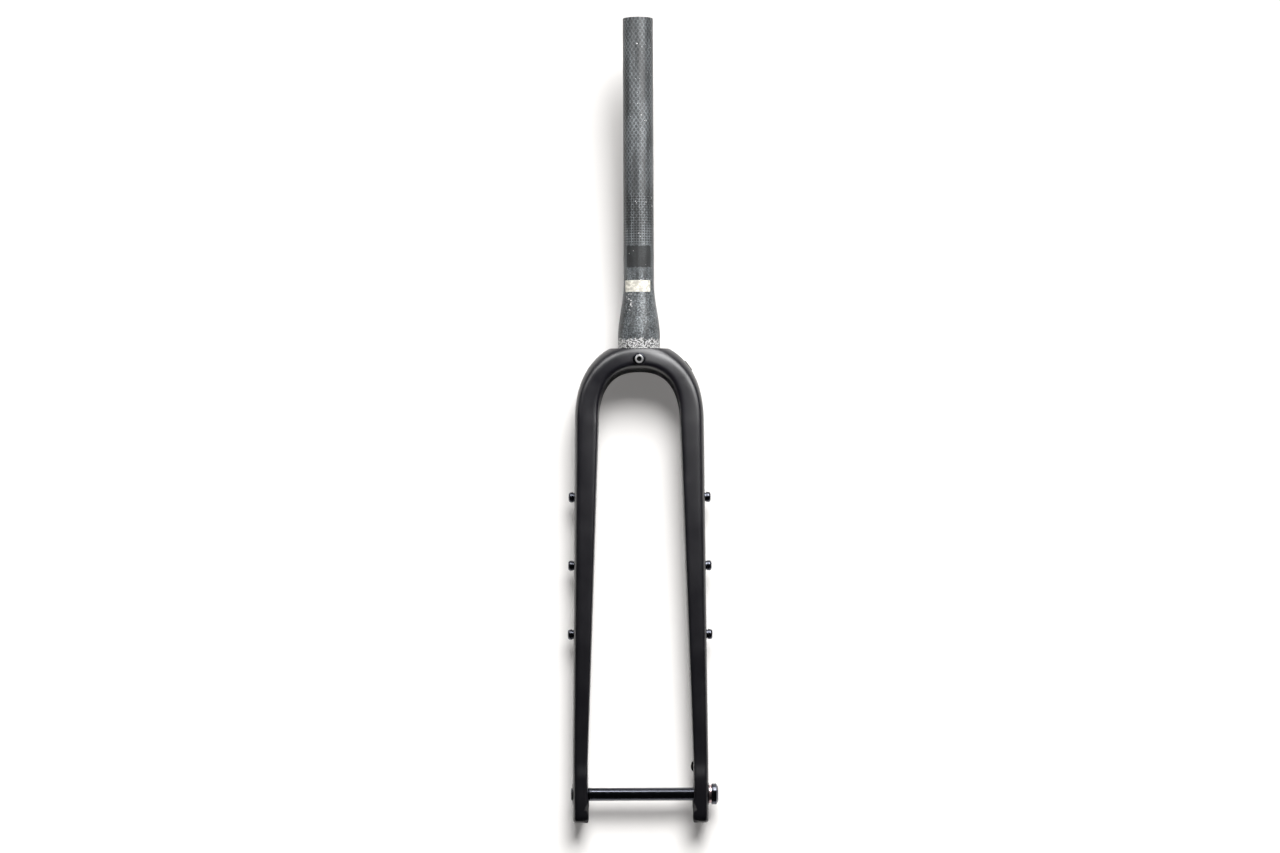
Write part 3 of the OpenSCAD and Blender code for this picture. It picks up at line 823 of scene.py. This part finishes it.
@dataclass
class CrownAndLegs:
    """The moulding with its boss, facings, brake pad, recesses and holes."""

    form: ForkForm
    boss_r: float = 15.05
    boss_gap: float = 0.1
    boss_h: float = 14.0
    facing_d: float = 20.4
    insert_r: float = 8.05
    lead_in: float = 1.0
    lead_in_h: float = 4.0
    facet_w: float = 4.0
    facet_d: float = 4.0
    facet_drop: float = 3.0
    cargo_drop: float = 204.0
    cargo_pitch: float = 64.0
    cargo_spot: float = 0.5
    cargo_spot_d: float = 10.6
    cargo_hole_r: float = 3.55
    cargo_hole_l: float = 10.0
    brake_back: float = 32.0
    brake_rise: float = 36.0
    brake_pitch: float = 70.0
    brake_w: float = 13.0
    brake_end: float = 9.0
    brake_ramp: float = 18.0
    brake_skim: float = 1.2
    brake_n: float = 4.5
    brake_sink: float = 0.6
    brake_neck: float = 0.5
    brake_steps: int = 90
    brake_hole_r: float = 4.05
    brake_hole_l: float = 12.5
    bolt_drop: float = 10.2
    bolt_spot: float = 1.8
    bolt_spot_d: float = 12.6
    sleeve_r: float = 4.05
    port_angle: float = 42.5
    port_l: float = 11.6
    port_w: float = 8.8
    port_sink: float = 1.6
    hose_r: float = 3.3
    exit_rise: float = 25.0
    exit_forward: float = 3.0
    exit_spot: float = 0.7
    exit_d: float = 11.0

    def build(self) -> Object:
        """Returns the finished, painted moulding, standing for its CAD node."""
        body = Moulding(self.form).skin()
        combine(body, [self.top_cut()], "DIFFERENCE")
        combine(body, self.additions(), "UNION")
        combine(body, self.cuts(), "DIFFERENCE")
        finish_shading(body.data)
        body.data.materials.clear()
        body.data.materials.append(PAINT.material())
        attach(body, BODY)
        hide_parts("crown_and_legs")
        return body

    def top_cut(self) -> Object:
        """Returns the block that cuts the crown flat under the race."""
        w = self.form.crown_w
        return prism("crown_top", [(-w, -w), (w, -w), (w, w), (-w, w)], w, Matrix())

    def additions(self) -> list[Object]:
        """Returns the boss, the dropouts' turned facings and the brake pad."""
        f = self.form
        boss_r = self.boss_r - self.boss_gap
        shapes = [turned("boss", [(boss_r, -f.crown_t / 2), (boss_r, self.boss_h)], Matrix())]
        for side in Side:
            r, h = self.facing_d / 2, f.dropout_t - 2
            place = along_x(side.value * (f.hub_x + 2), f.lean_y(f.axle_z), f.axle_z, side.value)
            shapes.append(turned("facing", [(r, 0), (r, h - 0.15), (r - 0.15, h)], place))
        return shapes + [self.brake_pad()]

    def brake_section(self, z: float) -> Section:
        """Returns the brake pad's section at a height."""
        f = self.form
        low = f.axle_z + self.brake_rise - self.brake_end
        high = low + self.brake_pitch + 2 * self.brake_end
        out = ease(min(z - low + self.brake_ramp, high + self.brake_ramp - z) / self.brake_ramp)
        leg_back = f.lean_y(z) + f.half_depth(z) - self.brake_sink
        back = mix(leg_back, max(-f.rake + self.brake_back + self.brake_skim, leg_back), out)
        front = f.lean_y(z) - 2
        centre = np.array([f.mid_x(f.axle_z + self.brake_rise), (back + front) / 2, z])
        half = self.brake_w / 2 * mix(self.brake_neck, 1.0, out)
        return Section(centre, SIDEWAYS, half, (back - front) / 2, self.brake_n, f.inner_n)

    def brake_pad(self) -> Object:
        """Returns the flat mount's pad, which swells out of the back of the left leg."""
        low = self.form.axle_z + self.brake_rise - self.brake_end - self.brake_ramp
        high = low + self.brake_pitch + 2 * self.brake_end + 2 * self.brake_ramp
        heights = [mix(low, high, k / self.brake_steps) for k in range(self.brake_steps + 1)]
        return loft("brake_pad", [self.brake_section(z).ring(TURN_COUNT) for z in heights])

    def brake_flat(self) -> Object:
        """Returns the cutter that mills the pad flat."""
        f = self.form
        low = f.axle_z + self.brake_rise - self.brake_end - 1
        x, y = f.mid_x(f.axle_z + self.brake_rise), -f.rake + self.brake_back
        left, right, back = x + self.brake_w, x - self.brake_w, y + 10
        outline = [(right, y), (left, y), (left, back), (right, back)]
        length = self.brake_pitch + 2 * self.brake_end + 1
        return prism("brake_flat", outline, length, Matrix.Translation((0, 0, low)))

    def tip_facet(self, side: Side) -> Object:
        """Returns the cutter for the sloping facet on a tip's front inner corner."""
        f, over = self.form, 2.0
        run = f.tip_drop - self.facet_drop
        w, d = (v * (run + over) / run for v in (self.facet_w, self.facet_d))
        x, y, low = f.lip_x - over, -f.dropout_r - over, -f.tip_drop - over
        points = [
            (x, y, -self.facet_drop + (run + over) * (over / w + over / d)), (x, y, low),
            (f.lip_x + w * (1 + over / d), y, low), (x, -f.dropout_r + d * (1 + over / w), low),
        ]
        shape = bmesh.new()
        corners = [shape.verts.new((side.value * a, b, c)) for a, b, c in points]
        for face in ((0, 1, 2), (0, 2, 3), (0, 3, 1), (1, 3, 2)):
            shape.faces.new([corners[k] for k in face])
        return solid("tip_facet", shape, Matrix.Translation((0, f.lean_y(f.axle_z), f.axle_z)))

    def cuts(self) -> list[Object]:
        """Returns every cutter, in the order of the CAD."""
        shapes = []
        for side in Side:
            shapes += self.hub_recess(side) + [self.tip_facet(side)]
            for row in Row:
                shapes += self.cargo_hole(side, row)
        shapes.append(self.brake_flat())
        return shapes + self.brake_holes() + self.crown_hole() + self.hose_holes()

    def hub_recess(self, side: Side) -> list[Object]:
        """Returns the cutters for one dropout's inner side and its insert."""
        f, s = self.form, side.value
        y, z, reach = f.lean_y(f.axle_z), f.axle_z, 1.0
        start = f.lip_x - reach
        depth = f.hub_x - start

        def block(low_y: float, high_y: float, low_z: float, high_z: float, thick: float) -> Object:
            """Returns a block from the inner side outwards."""
            outline = [(-high_z, low_y), (-low_z, low_y), (-low_z, high_y), (-high_z, high_y)]
            mirrored = [(s * a, b) for a, b in outline]
            return prism("recess", mirrored, thick, along_x(s * start, y, z, s))

        r = f.hub_seat_d / 2
        inside, foot = f.lip_x - 1, -1.0
        slope = [
            (inside, self.lead_in_h + 1), (f.hub_x, self.lead_in_h),
            (f.hub_x + self.lead_in, foot), (inside, foot),
        ]
        wedge = Matrix(((s, 0, 0, 0), (0, 0, 1, y - r), (0, 1, 0, f.tip_z), (0, 0, 0, 1)))
        bush = [(self.insert_r, 0.0), (self.insert_r, f.dropout_t + 2)]
        return [
            block(-2 * f.dropout_r, 2 * f.dropout_r, -2 * f.tip_drop, f.dropout_h / 2, reach),
            turned("seat", [(r, 0.0), (r, depth)], along_x(s * start, y, z, s)),
            block(-r, r, -2 * f.tip_drop, 0.0, depth),
            prism("lead_in", slope, 2 * r, wedge),
            turned("bush", bush, along_x(s * (f.hub_x - 1), y, z, s)),
        ]

    def cargo_hole(self, side: Side, row: Row) -> list[Object]:
        """Returns the cutters for one cargo insert: its flat, with a softened edge, and its hole."""
        f, s = self.form, side.value
        z = -self.cargo_drop + row.value * self.cargo_pitch
        x = f.outer_x(z) - self.cargo_spot
        r = self.cargo_spot_d / 2
        flat = flared(r, self.cargo_spot, (0.25, 0.35), 0.6, 4.0)
        hole = [(self.cargo_hole_r, -self.cargo_hole_l), (self.cargo_hole_r, 1.0)]
        place = along_x(s * x, f.lean_y(z), z, s)
        return [turned("flat", flat, place), turned("hole", hole, place)]

    def brake_holes(self) -> list[Object]:
        """Returns the cutters for the two brake inserts."""
        f, r = self.form, self.brake_hole_r
        low = f.axle_z + self.brake_rise
        face = -f.rake + self.brake_back
        profile = [(r, -0.5), (r, self.brake_hole_l)]
        places = [along_y(f.mid_x(low), face, z, -1) for z in (low, low + self.brake_pitch)]
        return [turned("brake_hole", profile, place) for place in places]

    def crown_hole(self) -> list[Object]:
        """Returns the cutters for the crown sleeve and the counterbores at its ends."""
        f, r = self.form, self.bolt_spot_d / 2
        face = f.crown_depth / 2 - self.bolt_spot
        spot = flared(r, self.bolt_spot, (0.5, 0.3), 0.7, f.crown_depth)
        through = [(self.sleeve_r, -f.crown_depth), (self.sleeve_r, f.crown_depth)]
        shapes = [turned("crown_hole", through, along_y(0, 0, -self.bolt_drop))]
        return shapes + [turned("spot", spot, along_y(0, s * face, -self.bolt_drop, s)) for s in (-1, 1)]

    def hose_holes(self) -> list[Object]:
        """Returns the cutters for the hose port in the shoulder and the exit in the left leg."""
        f = self.form

        def shoulder(degrees: float) -> Vector:
            """Returns a point of the shoulder's outline."""
            a = math.radians(degrees)
            x = f.crown_w / 2 * math.cos(a) ** (2 / f.shoulder_n)
            return Vector((x, 0, -f.arch_drop + f.shoulder_rise * math.sin(a) ** (2 / f.shoulder_n)))

        point = shoulder(self.port_angle)
        run = (shoulder(self.port_angle + 2) - shoulder(self.port_angle - 2)).normalized()
        lean = math.atan2(run.z, -run.x)
        place = Matrix.Translation(point) @ Matrix.Rotation(lean, 4, "Y")
        r, oval = self.port_w / 2, []
        for middle, start in ((self.port_l / 2 - r, -math.pi / 2), (r - self.port_l / 2, math.pi / 2)):
            turns = [start + math.pi * k / ARC_STEPS for k in range(ARC_STEPS + 1)]
            oval += [(middle + r * math.cos(a), r * math.sin(a)) for a in turns]
        sunk = place @ Matrix.Translation((0, 0, -self.port_sink))
        z = f.axle_z + self.exit_rise
        exit_place = along_x(f.inner_x(z) + self.exit_spot, f.lean_y(z) + self.exit_forward, z, -1)
        spot = [(self.exit_d / 2, 0.0), (self.exit_d / 2, 4.0)]
        stem = [(self.hose_r, -7.0), (self.hose_r, 1.0)]
        return [
            prism("port", oval, 2 * self.port_sink, sunk),
            turned("port_stem", stem, place),
            turned("exit", spot, exit_place),
            turned("exit_stem", stem, exit_place),
        ]


@dataclass
class Steerer:
    """The tapered carbon tube, drawn with a fine turned surface."""

    diameter: float = 28.6
    wall: float = 3.1
    length: float = 312.0
    seat_d: float = 39.8
    seat_h: float = 10.0
    taper_top: float = 62.0
    foot_wall: float = 4.8
    boss_h: float = 14.0
    chamfer: float = 0.4
    foot_edge: float = 0.25
    count: int = 128
    steps: int = 40
    straight_steps: int = 50

    def outer_r(self, z: float) -> float:
        """Returns the outside radius at a height."""
        share = ease((z - self.seat_h) / (self.taper_top - self.seat_h))
        return mix(self.seat_d, self.diameter, share) / 2

    def inner_r(self, z: float) -> float:
        """Returns the bore's radius at a height."""
        share = ease((z - self.boss_h) / (self.taper_top - self.boss_h))
        return mix(self.seat_d / 2 - self.foot_wall, self.diameter / 2 - self.wall, share)

    def profile(self) -> list[Pair]:
        """Returns the wall's outline as radius and height, up the outside and down the bore."""
        top = self.length
        steps, taper = self.steps, self.taper_top - self.seat_h
        tapered = [self.seat_h + taper * k / steps for k in range(steps + 1)]
        shares = [k / self.straight_steps for k in range(1, self.straight_steps + 1)]
        straight = [mix(self.taper_top, top - self.chamfer, share) for share in shares]
        outside = [(self.seat_d / 2 - self.foot_edge, 0.0), (self.seat_d / 2, self.foot_edge)]
        outside += [(self.outer_r(z), z) for z in tapered + straight]
        bore = self.diameter / 2 - self.wall
        lip = self.chamfer / 2
        mouth = [(self.diameter / 2 - self.chamfer, top), (bore + lip, top), (bore, top - lip)]
        inside = [(self.inner_r(z), z) for z in reversed(tapered) if z > self.boss_h]
        foot_r = self.seat_d / 2 - self.foot_wall
        return outside + mouth + inside + [(foot_r, self.boss_h), (foot_r, 0.0)]

    def build(self) -> Object:
        """Returns the tube, standing for its CAD node."""
        rows = self.profile()
        turn = np.arange(self.count) * math.tau / self.count
        sine, cosine, level = np.sin(turn), -np.cos(turn), np.ones(self.count)
        points = [np.column_stack([r * sine, r * cosine, z * level]) for r, z in rows]
        n, total = self.count, len(rows)
        faces = [
            (i * n + j, i * n + (j + 1) % n, (i + 1) % total * n + (j + 1) % n, (i + 1) % total * n + j)
            for i in range(total)
            for j in range(n)
        ]
        mesh = mesh_from("steerer_fine", np.vstack(points), faces)
        finish_shading(mesh)
        mesh.materials.append(CARBON.material())
        tube = new_object("steerer_fine", mesh)
        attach(tube, BODY)
        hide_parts("steerer")
        return tube


@dataclass
class PaperLabel:
    """A small bare label, stuck round the front of the steerer's taper."""

    steerer: Steerer
    left_x: float = -12.7
    right_x: float = 10.7
    low_z: float = 53.4
    high_z: float = 64.2
    glue: float = 0.02
    thickness: float = 0.12
    columns: int = 48
    levels: int = 20

    def build(self) -> Object:
        """Returns the label as a thin closed sheet on the tube."""
        columns, levels = self.columns, self.levels
        rows: list[list[Triple]] = []
        for lift in (self.glue, self.glue + self.thickness):
            for i in range(levels + 1):
                z = mix(self.low_z, self.high_z, i / levels)
                r = self.steerer.outer_r(z) + lift
                first, last = math.asin(self.left_x / r), math.asin(self.right_x / r)
                turns = [mix(first, last, j / columns) for j in range(columns + 1)]
                rows.append([(r * math.sin(t), -r * math.cos(t), z) for t in turns])
        n, half = columns + 1, levels + 1
        faces = []
        for i in range(levels):
            for j in range(columns):
                a, b = i * n + j, half * n + i * n + j
                faces.append((a, a + n, a + n + 1, a + 1))
                faces.append((b, b + 1, b + n + 1, b + n))
        rim = list(range(n)) + [i * n + columns for i in range(1, half)]
        rim += [levels * n + j for j in reversed(range(columns))]
        rim += [i * n for i in reversed(range(1, levels))]
        for k, a in enumerate(rim):
            b = rim[(k + 1) % len(rim)]
            faces.append((a, b, b + half * n, a + half * n))
        mesh = mesh_from("steerer_label", np.array([p for row in rows for p in row]), faces)
        finish_shading(mesh)
        mesh.materials.append(PAPER.material())
        label = new_object("steerer_label", mesh)
        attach(label, BODY)
        return label


@dataclass(frozen=True)
class SmallPiece:
    """A CAD node that is redrawn with merged points and softened edges."""

    node: str
    finish: Finish
    edge: float = 0.15
    merge: float = 0.004
    flat_below: float = 0.6
    soft_above: float = 35.0

    def build(self, nodes: dict[str, Object]) -> Object:
        """Copies the node, merges it and rounds its edges.

        Args:
            nodes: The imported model's objects, by name.

        Returns:
            The finer piece, standing for the node.
        """
        mesh = nodes[self.node].data.copy()
        shape = bmesh.new()
        shape.from_mesh(mesh)
        bmesh.ops.remove_doubles(shape, verts=shape.verts, dist=self.merge * MM)
        flat = math.radians(self.flat_below)
        bmesh.ops.dissolve_limit(shape, angle_limit=flat, verts=shape.verts, edges=shape.edges)
        shape.to_mesh(mesh)
        shape.free()
        mesh.materials.clear()
        mesh.materials.append(self.finish.material())
        piece = new_object(self.node + "_fine", mesh)
        soften = piece.modifiers.new("edges", "BEVEL")
        soften.width = self.edge * MM
        soften.segments = 3
        soften.limit_method = "ANGLE"
        soften.angle_limit = math.radians(self.soft_above)
        soften.harden_normals = False
        soften.use_clamp_overlap = True
        applied(piece)
        finish_shading(piece.data, 38)
        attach(piece, BODY)
        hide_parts(self.node)
        return piece


@dataclass(frozen=True)
class Thread:
    """A screw thread's ridge, made by a Geometry Nodes helix."""

    name: str
    radius: float
    pitch: float
    length: float
    ridge: float
    finish: Finish
    place: Matrix

    def tree(self) -> GeometryNodeTree:
        """Returns the shared helix tree, made on first use."""
        found = bpy.data.node_groups.get("screw_thread")
        if found:
            return found
        tree = bpy.data.node_groups.new("screw_thread", "GeometryNodeTree")
        face = tree.interface
        face.new_socket("Geometry", in_out="OUTPUT", socket_type="NodeSocketGeometry")
        for name in ("Radius", "Turns", "Length", "Ridge"):
            face.new_socket(name, in_out="INPUT", socket_type="NodeSocketFloat")
        face.new_socket("Finish", in_out="INPUT", socket_type="NodeSocketMaterial")
        graph = Graph(tree)
        given = graph.add("NodeGroupInput").outputs
        helix = graph.add(
            "GeometryNodeCurveSpiral",
            {"Resolution": 40, "Rotations": given["Turns"], "Start Radius": given["Radius"],
             "End Radius": given["Radius"], "Height": given["Length"]},
        )
        profile = graph.add("GeometryNodeCurvePrimitiveCircle", {"Resolution": 4, "Radius": given["Ridge"]})
        swept = graph.add(
            "GeometryNodeCurveToMesh",
            {"Curve": helix.outputs[0], "Profile Curve": profile.outputs[0], "Fill Caps": True},
        )
        real = graph.add("GeometryNodeRealizeInstances", {0: swept.outputs[0]})
        inputs = {"Geometry": real.outputs[0], "Material": given["Finish"]}
        dressed = graph.add("GeometryNodeSetMaterial", inputs)
        output = graph.add("NodeGroupOutput")
        graph.feed(output.inputs[0], dressed.outputs[0])
        return tree

    def build(self) -> Object:
        """Returns the ridge as a plain mesh, in its place."""
        piece = new_object(self.name, bpy.data.meshes.new(self.name))
        maker = piece.modifiers.new("thread", "NODES")
        maker.node_group = self.tree()
        values = {
            "Radius": self.radius * MM, "Turns": self.length / self.pitch, "Length": self.length * MM,
            "Ridge": self.ridge * MM, "Finish": self.finish.material(),
        }
        for item in maker.node_group.interface.items_tree:
            if item.in_out == "INPUT":
                maker[item.identifier] = values[item.name]
        applied(piece)
        place = self.place.copy()
        place.translation = place.translation * MM
        piece.data.transform(place)
        piece.data.shade_smooth()
        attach(piece, BODY)
        return piece


class Hardware:
    """The fork's bolts, washers, inserts, axle and rubber pieces."""

    def __init__(self, crown: CrownAndLegs, nodes: dict[str, Object]) -> None:
        """Keeps the moulding that the pieces seat in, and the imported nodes."""
        self.crown = crown
        self.nodes = nodes

    def pieces(self) -> list[SmallPiece]:
        """Returns every small piece with its finish and edge."""
        rows = [
            SmallPiece("crown_sleeve", PLAIN_METAL),
            SmallPiece("crown_bolt_washer", BLACK_METAL, 0.25),
            SmallPiece("crown_bolt", STEEL, 0.12),
            SmallPiece("dropout_insert_left", PLAIN_METAL),
            SmallPiece("dropout_insert_right", PLAIN_METAL),
            SmallPiece("thru_axle", BLACK_METAL, 0.2),
            SmallPiece("axle_washer", PALE_RING, 0.3),
            SmallPiece("brake_insert_upper", PLAIN_METAL),
            SmallPiece("brake_insert_lower", PLAIN_METAL),
            SmallPiece("hose_port_plug", RUBBER, 0.35),
            SmallPiece("hose_exit_grommet", RUBBER, 0.2),
        ]
        for side in Side:
            for row in Row:
                place = f"{side.name}_{row.name}".lower()
                rows.append(SmallPiece(f"cargo_insert_{place}", BLACK_METAL))
                rows.append(SmallPiece(f"cargo_washer_{place}", BLACK_METAL, 0.2))
                rows.append(SmallPiece(f"cargo_bolt_{place}", BLACK_METAL, 0.1))
        return rows

    def threads(self) -> list[Thread]:
        """Returns the threads that can be seen: the axle's end and the brake inserts."""
        crown, f = self.crown, self.crown.form
        low = f.axle_z + crown.brake_rise
        face = -f.rake + crown.brake_back - 0.3
        tip = along_x(-f.outer_face_x - 0.05, f.lean_y(f.axle_z), f.axle_z, -1)
        rows = [Thread("axle_thread", 5.5, 0.5, 1.2, 0.22, BLACK_METAL, tip)]
        for name, z in (("brake_thread_lower", low), ("brake_thread_upper", low + crown.brake_pitch)):
            rows.append(Thread(name, 2.2, 0.8, 11.2, 0.2, PLAIN_METAL, along_y(f.mid_x(low), face, z, -1)))
        return rows

    def build(self) -> list[Object]:
        """Returns all the pieces and threads."""
        made = [piece.build(self.nodes) for piece in self.pieces()]
        return made + [thread.build() for thread in self.threads()]


@dataclass
class Studio:
    """The camera, the white backdrop and the lamps.

    The backdrop's size is half its width, half its height and the height of its middle.
    """

    lens: float = 86.3
    distance: float = 2.9
    camera_x: float = 0.0006
    camera_z: float = -0.0735
    roll: float = -0.22
    backdrop_y: float = 0.028
    backdrop_slope: float = 0.135
    backdrop_size: Triple = (1.1, 0.85, -0.02)
    backdrop_light: float = 5.0
    sun_angle: float = 34.0
    room_light: float = 0.02
    light_from: Triple = (0.22, -1.0, 1.05)
    shade: float = 0.17

    def camera(self) -> None:
        """Places the camera at the photograph's viewpoint."""
        data = bpy.data.cameras.new("camera")
        data.lens = self.lens
        data.sensor_width = 36.0
        data.clip_start, data.clip_end = 0.05, 20.0
        camera = bpy.data.objects.new("camera", data)
        bpy.context.scene.collection.objects.link(camera)
        turn = Matrix.Rotation(math.pi / 2, 4, "X") @ Matrix.Rotation(math.radians(self.roll), 4, "Z")
        camera.matrix_world = Matrix.Translation((self.camera_x, -self.distance, self.camera_z)) @ turn
        bpy.context.scene.camera = camera

    def backdrop(self) -> Object:
        """Returns the white sheet that the fork lies on, which is clear when seen from behind."""
        w, h, z = self.backdrop_size
        low, high = (self.backdrop_y + k * h * self.backdrop_slope for k in (-1, 1))
        corners = [(-w, low, z - h), (w, low, z - h), (w, high, z + h), (-w, high, z + h)]
        mesh = bpy.data.meshes.new("backdrop")
        mesh.from_pydata(corners, [], [(0, 1, 2, 3)])
        sheet = new_object("backdrop", mesh)
        material = bpy.data.materials.new("backdrop_paper")
        material.use_nodes = True
        graph = Graph(material.node_tree)
        white = graph.add("ShaderNodeBsdfDiffuse", {"Color": (0.80, 0.785, 0.77, 1.0)})
        clear = graph.add("ShaderNodeBsdfTransparent")
        behind = graph.add("ShaderNodeNewGeometry").outputs["Backfacing"]
        seen = graph.add("ShaderNodeLightPath").outputs["Is Camera Ray"]
        glow = graph.add("ShaderNodeEmission", {"Color": (1.0, 0.97, 0.95, 1.0)})
        graph.feed(glow.inputs["Strength"], graph.times(seen, self.shade))
        paper = graph.add("ShaderNodeAddShader", {0: white.outputs[0], 1: glow.outputs[0]})
        blend = graph.add("ShaderNodeMixShader", {0: behind, 1: paper.outputs[0], 2: clear.outputs[0]})
        output = graph.add("ShaderNodeOutputMaterial")
        graph.feed(output.inputs["Surface"], blend.outputs[0])
        mesh.materials.append(material)
        sheet.visible_shadow = False
        return sheet

    def lamp(self, name: str, place: Triple, target: Triple, size: Pair, watts: float) -> Object:
        """Adds an area lamp.

        Args:
            name: The lamp's name.
            place: Where it stands, in metres.
            target: The point that it faces.
            size: Its width and height.
            watts: Its power.

        Returns:
            The lamp.
        """
        data = bpy.data.lights.new(name, "AREA")
        data.shape = "RECTANGLE"
        data.size, data.size_y = size
        data.energy = watts
        lamp = bpy.data.objects.new(name, data)
        bpy.context.scene.collection.objects.link(lamp)
        facing = (Vector(target) - Vector(place)).to_track_quat("-Z", "Y")
        lamp.matrix_world = Matrix.Translation(place) @ facing.to_matrix().to_4x4()
        lamp.visible_camera = False
        return lamp

    def link(self, light: Object, sheet: Object, alone: bool) -> None:
        """Makes a light reach the sheet alone, or everything but the sheet."""
        kept = bpy.data.collections.new(light.name + "_reach")
        kept.objects.link(sheet)
        light.light_linking.receiver_collection = kept
        if not alone:
            kept.collection_objects[0].light_linking.link_state = "EXCLUDE"

    def backdrop_sun(self, sheet: Object) -> None:
        """Lights the sheet alone, so that the fork still shades it."""
        data = bpy.data.lights.new("backdrop_sun", "SUN")
        data.energy = self.backdrop_light
        data.angle = math.radians(self.sun_angle)
        sun = bpy.data.objects.new("backdrop_sun", data)
        bpy.context.scene.collection.objects.link(sun)
        sun.rotation_euler = (-Vector(self.light_from)).to_track_quat("-Z", "Y").to_euler()
        self.link(sun, sheet, True)

    def world(self) -> None:
        """Makes a white surround for the camera, with a darker room in front of the fork."""
        world = bpy.data.worlds.new("surround")
        bpy.context.scene.world = world
        world.use_nodes = True
        graph = Graph(world.node_tree)
        rays = graph.add("ShaderNodeLightPath").outputs
        generated = graph.add("ShaderNodeTexCoord").outputs["Generated"]
        forward = graph.add("ShaderNodeSeparateXYZ", {0: generated}).outputs[1]
        behind = graph.between(forward, 0.35, 0.9, self.room_light, 1.0)
        mirrored = graph.times(behind, rays["Is Glossy Ray"])
        seen = graph.math("MAXIMUM", rays["Is Camera Ray"], rays["Is Transmission Ray"])
        level = graph.math("MAXIMUM", graph.math("MAXIMUM", seen, mirrored), self.room_light)
        surround = graph.add("ShaderNodeBackground", {"Color": grey(1.0), "Strength": level})
        output = graph.add("ShaderNodeOutputWorld")
        graph.feed(output.inputs["Surface"], surround.outputs[0])

    def build(self) -> None:
        """Sets the whole studio."""
        bpy.context.scene.view_settings.view_transform = "Standard"
        self.camera()
        sheet = self.backdrop()
        self.world()
        self.backdrop_sun(sheet)
        lamps = [
            self.lamp("key", (0.25, -0.44, 0.25), (0.02, 0.0, -0.02), (0.42, 0.30), 3.5),
            self.lamp("rail", (0.0, -0.75, 0.80), (0.0, 0.0, -0.2), (1.2, 0.12), 5.0),
            self.lamp("top", (0.14, -0.28, 0.62), (0.0, 0.0, 0.15), (0.4, 0.3), 3.0),
            self.lamp("fill", (-0.30, -0.36, 0.31), (0.0, 0.0, 0.0), (0.26, 0.26), 1.1),
            self.lamp("back", (0.6, 1.6, 0.6), (0.0, 0.0, -0.1), (1.0, 1.0), 12.0),
        ]
        for lamp in lamps:
            self.link(lamp, sheet, False)


def main() -> None:
    """Builds the fork and its studio, in order."""
    logging.basicConfig(level=logging.INFO, format="%(name)s: %(message)s")
    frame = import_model()
    crown = CrownAndLegs(ForkForm())
    steerer = Steerer()
    builders: list[tuple[str, Callable[[], object]]] = [
        ("crown and legs", crown.build),
        ("steerer", steerer.build),
        ("label", PaperLabel(steerer).build),
        ("hardware", Hardware(crown, frame["nodes"]).build),
        ("studio", Studio().build),
    ]
    for name, build in builders:
        build()
        LOG.info("built the %s", name)


if __name__ == "__main__":
    main()
